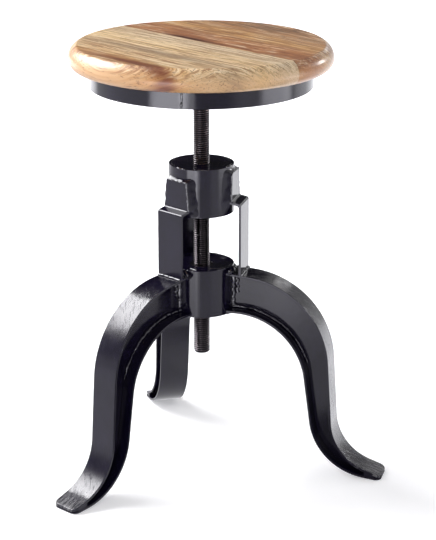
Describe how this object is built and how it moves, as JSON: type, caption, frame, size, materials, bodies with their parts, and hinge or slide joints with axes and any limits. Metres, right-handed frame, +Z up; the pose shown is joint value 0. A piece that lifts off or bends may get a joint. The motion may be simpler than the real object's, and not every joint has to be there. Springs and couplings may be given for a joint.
{
  "type": "adjustable screw stool",
  "caption": "Low industrial screw stool: round planked wooden seat on a threaded spindle that rises as it turns, collar and hub, and curved fabricated black steel legs.",
  "frame": {"origin": "on the spindle's axis at floor level, in the middle of the feet", "axes": "+Z up along the spindle; +X to the viewer's right and +Y away from the viewer in the picture"},
  "size_m": [0.3835, 0.3828, 0.5065],
  "materials": {
    "lacquered_wood": "semi-gloss lacquer over streaky grain",
    "black_paint": "glossy black paint, worn at the edges",
    "oiled_steel": "dark oiled thread",
    "zinc_steel": "zinc plated"
  },
  "bodies": {
    "base": {"upper_collar": "black_paint", "collar_cap": "black_paint", "spindle_nut": "oiled_steel", "lower_hub": "black_paint", "hub_top_plate": "black_paint", "guide_bush": "oiled_steel", "strap_back": "black_paint", "strap_left": "black_paint", "strap_right": "black_paint", "leg_back_outer_strip": "black_paint", "leg_back_inner_strip": "black_paint", "leg_back_web": "black_paint", "leg_left_outer_strip": "black_paint", "leg_left_inner_strip": "black_paint", "leg_left_web": "black_paint", "leg_right_outer_strip": "black_paint", "leg_right_inner_strip": "black_paint", "leg_right_web": "black_paint"},
    "carrier": {"spindle_flange": "black_paint"},
    "seat": {"seat_board_outer_front": "lacquered_wood", "seat_board_inner_front": "lacquered_wood", "seat_board_inner_back": "lacquered_wood", "seat_board_outer_back": "lacquered_wood", "seat_ring": "black_paint", "cross_bar_long": "black_paint", "cross_bar_short_front": "black_paint", "cross_bar_short_back": "black_paint", "seat_screws": "zinc_steel", "spindle": "oiled_steel"}
  },
  "joints": [
    {"name": "lift", "type": "slide", "parent": "base", "child": "carrier", "axis": [0, 0, 1], "range_m": [-0.1026, 0.05135]},
    {"name": "seat_turn", "type": "hinge", "parent": "carrier", "child": "seat", "pos_m": [0, 0, 0.4735], "axis": [0, 0, 1], "range_deg": [-14760, 7380]}
  ],
  "couplings": [
    {"joint": "lift", "follows": "seat_turn", "m_per_rad": 0.00039789}
  ]
}
